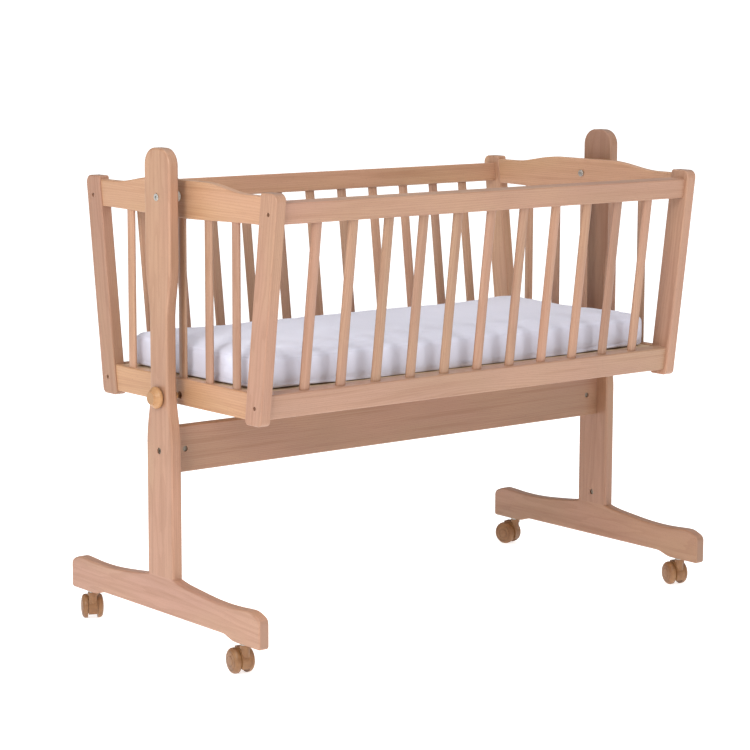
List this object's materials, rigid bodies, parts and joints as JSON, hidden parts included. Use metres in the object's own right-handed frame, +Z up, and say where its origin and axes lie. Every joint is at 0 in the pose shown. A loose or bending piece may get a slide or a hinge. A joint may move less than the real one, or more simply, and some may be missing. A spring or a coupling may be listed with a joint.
{
  "type": "baby cradle",
  "caption": "Swinging wooden baby cradle: slatted leaning-sided basket with a mattress, hung between two uprights on footed stands with twin-wheel casters.",
  "frame": {"origin": "on the floor, under the middle of the cradle", "axes": "+X along the cradle's length, away from the upright that holds the lock peg; +Y across it; +Z up"},
  "size_m": [1.0573, 0.566, 0.845],
  "materials": {
    "beech": "satin",
    "turned_beech": "satin",
    "plywood": "matte",
    "mattress_cover": "matte",
    "zinc_plated_steel": "satin",
    "nylon": "matte",
    "caster_plastic": "satin",
    "wheel_plastic": "satin"
  },
  "bodies": {
    "stand": {"upright_left": "beech", "upright_right": "beech", "foot_left": "beech", "foot_right": "beech", "stretcher": "beech", "stretcher_bolts": "zinc_plated_steel", "stretcher_barrel_nuts": "zinc_plated_steel", "foot_bolts": "zinc_plated_steel", "foot_barrel_nuts": "zinc_plated_steel", "caster_sleeves": "zinc_plated_steel", "pivot_bolts": "zinc_plated_steel", "pivot_nuts": "zinc_plated_steel", "pivot_spacers": "nylon"},
    "basket": {"post_front_left": "beech", "post_front_right": "beech", "side_rail_top_front": "beech", "side_rail_bottom_front": "beech", "side_slats_front": "beech", "post_back_left": "beech", "post_back_right": "beech", "side_rail_top_back": "beech", "side_rail_bottom_back": "beech", "side_slats_back": "beech", "end_rail_top_left": "beech", "end_rail_bottom_left": "beech", "end_slats_left": "beech", "end_rail_top_right": "beech", "end_rail_bottom_right": "beech", "end_slats_right": "beech", "bearer_front": "beech", "bearer_back": "beech", "end_rail_dowels": "beech", "base_panel": "plywood", "mattress": "mattress_cover", "post_bolts": "zinc_plated_steel", "rail_inserts": "zinc_plated_steel"},
    "lock_peg": {"lock_peg": "turned_beech"},
    "caster_front_left": {"caster_hood_front_left": "caster_plastic", "caster_stem_front_left": "zinc_plated_steel", "caster_axle_front_left": "zinc_plated_steel"},
    "wheel_front_left_a": {"caster_wheel_front_left_a": "wheel_plastic"},
    "wheel_front_left_b": {"caster_wheel_front_left_b": "wheel_plastic"},
    "caster_back_left": {"caster_hood_back_left": "caster_plastic", "caster_stem_back_left": "zinc_plated_steel", "caster_axle_back_left": "zinc_plated_steel"},
    "wheel_back_left_a": {"caster_wheel_back_left_a": "wheel_plastic"},
    "wheel_back_left_b": {"caster_wheel_back_left_b": "wheel_plastic"},
    "caster_front_right": {"caster_hood_front_right": "caster_plastic", "caster_stem_front_right": "zinc_plated_steel", "caster_axle_front_right": "zinc_plated_steel"},
    "wheel_front_right_a": {"caster_wheel_front_right_a": "wheel_plastic"},
    "wheel_front_right_b": {"caster_wheel_front_right_b": "wheel_plastic"},
    "caster_back_right": {"caster_hood_back_right": "caster_plastic", "caster_stem_back_right": "zinc_plated_steel", "caster_axle_back_right": "zinc_plated_steel"},
    "wheel_back_right_a": {"caster_wheel_back_right_a": "wheel_plastic"},
    "wheel_back_right_b": {"caster_wheel_back_right_b": "wheel_plastic"}
  },
  "joints": [
    {"name": "basket_swing", "type": "hinge", "parent": "stand", "child": "basket", "pos_m": [0, 0, 0.7635], "axis": [1, 0, 0], "range_deg": [-15, 15]},
    {"name": "lock_peg_slide", "type": "slide", "parent": "stand", "child": "lock_peg", "axis": [-1, 0, 0], "range_m": [0, 0.016]},
    {"name": "swivel_front_left", "type": "hinge", "parent": "stand", "child": "caster_front_left", "pos_m": [-0.502, -0.23, 0.05], "axis": [0, 0, 1], "continuous": true},
    {"name": "roll_front_left_a", "type": "hinge", "parent": "caster_front_left", "child": "wheel_front_left_a", "pos_m": [-0.49963, -0.21317, 0.0215], "axis": [-0.9903, 0.1392, 0], "continuous": true},
    {"name": "roll_front_left_b", "type": "hinge", "parent": "caster_front_left", "child": "wheel_front_left_b", "pos_m": [-0.49963, -0.21317, 0.0215], "axis": [-0.9903, 0.1392, 0], "continuous": true},
    {"name": "swivel_back_left", "type": "hinge", "parent": "stand", "child": "caster_back_left", "pos_m": [-0.502, 0.23, 0.05], "axis": [0, 0, 1], "continuous": true},
    {"name": "roll_back_left_a", "type": "hinge", "parent": "caster_back_left", "child": "wheel_back_left_a", "pos_m": [-0.49402, 0.24501, 0.0215], "axis": [-0.8829, 0.4695, 0], "continuous": true},
    {"name": "roll_back_left_b", "type": "hinge", "parent": "caster_back_left", "child": "wheel_back_left_b", "pos_m": [-0.49402, 0.24501, 0.0215], "axis": [-0.8829, 0.4695, 0], "continuous": true},
    {"name": "swivel_front_right", "type": "hinge", "parent": "stand", "child": "caster_front_right", "pos_m": [0.502, -0.23, 0.05], "axis": [0, 0, 1], "continuous": true},
    {"name": "roll_front_right_a", "type": "hinge", "parent": "caster_front_right", "child": "wheel_front_right_a", "pos_m": [0.5064, -0.21358, 0.0215], "axis": [-0.9659, 0.2588, 0], "continuous": true},
    {"name": "roll_front_right_b", "type": "hinge", "parent": "caster_front_right", "child": "wheel_front_right_b", "pos_m": [0.5064, -0.21358, 0.0215], "axis": [-0.9659, 0.2588, 0], "continuous": true},
    {"name": "swivel_back_right", "type": "hinge", "parent": "stand", "child": "caster_back_right", "pos_m": [0.502, 0.23, 0.05], "axis": [0, 0, 1], "continuous": true},
    {"name": "roll_back_right_a", "type": "hinge", "parent": "caster_back_right", "child": "wheel_back_right_a", "pos_m": [0.49789, 0.24649, 0.0215], "axis": [-0.9703, -0.2419, 0], "continuous": true},
    {"name": "roll_back_right_b", "type": "hinge", "parent": "caster_back_right", "child": "wheel_back_right_b", "pos_m": [0.49789, 0.24649, 0.0215], "axis": [-0.9703, -0.2419, 0], "continuous": true}
  ]
}
